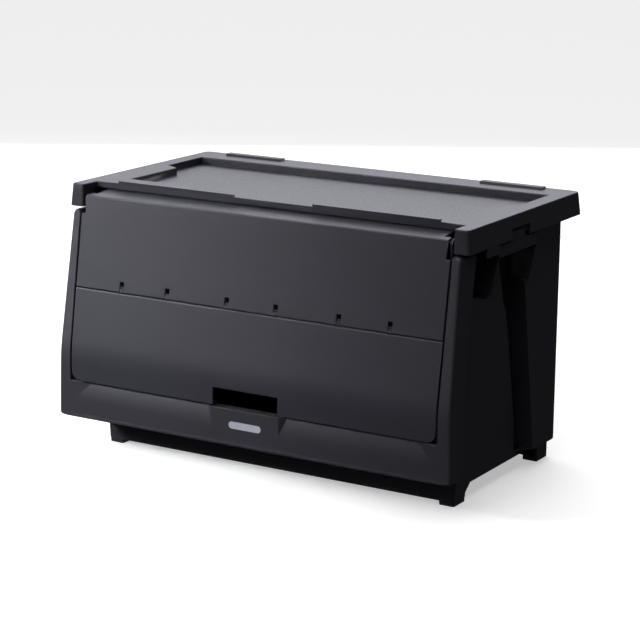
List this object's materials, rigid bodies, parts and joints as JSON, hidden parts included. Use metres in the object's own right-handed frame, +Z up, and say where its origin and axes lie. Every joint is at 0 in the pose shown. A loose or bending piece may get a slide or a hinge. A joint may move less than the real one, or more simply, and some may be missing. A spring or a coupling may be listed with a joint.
{
  "type": "front-opening stacking tote",
  "caption": "Moulded stacking tote with an overhanging clip-on lid, side handles and a front door of two panels that folds and swings up.",
  "frame": {"origin": "on the floor, under the centre of the whole footprint", "axes": "+Z up, +X along the width, the door faces -Y"},
  "size_m": [0.611, 0.367, 0.3742],
  "materials": {
    "body": "fine moulded texture, charcoal polypropylene",
    "lid": "fine moulded texture, charcoal polypropylene",
    "door": "fine moulded texture, charcoal polypropylene",
    "pin_steel": "drawn steel pin"
  },
  "bodies": {
    "tub": {"body": "body", "pivot_pin_left": "pin_steel", "pivot_pin_right": "pin_steel"},
    "lid": {"lid": "lid"},
    "upper_panel": {"door_upper": "door", "fold_pin_left": "pin_steel", "fold_pin_middle": "pin_steel", "fold_pin_right": "pin_steel"},
    "lower_panel": {"door_lower": "door"}
  },
  "joints": [
    {"name": "lid_lift", "type": "slide", "parent": "tub", "child": "lid", "axis": [0, 0, 1], "range_m": [0, 0.05]},
    {"name": "door_swing", "type": "hinge", "parent": "tub", "child": "upper_panel", "pos_m": [0, -0.14, 0.35], "axis": [-1, 0, 0], "range_deg": [0, 170]},
    {"name": "door_fold", "type": "hinge", "parent": "upper_panel", "child": "lower_panel", "pos_m": [0, -0.16701, 0.2374], "axis": [-1, 0, 0], "range_deg": [0, 92]}
  ]
}
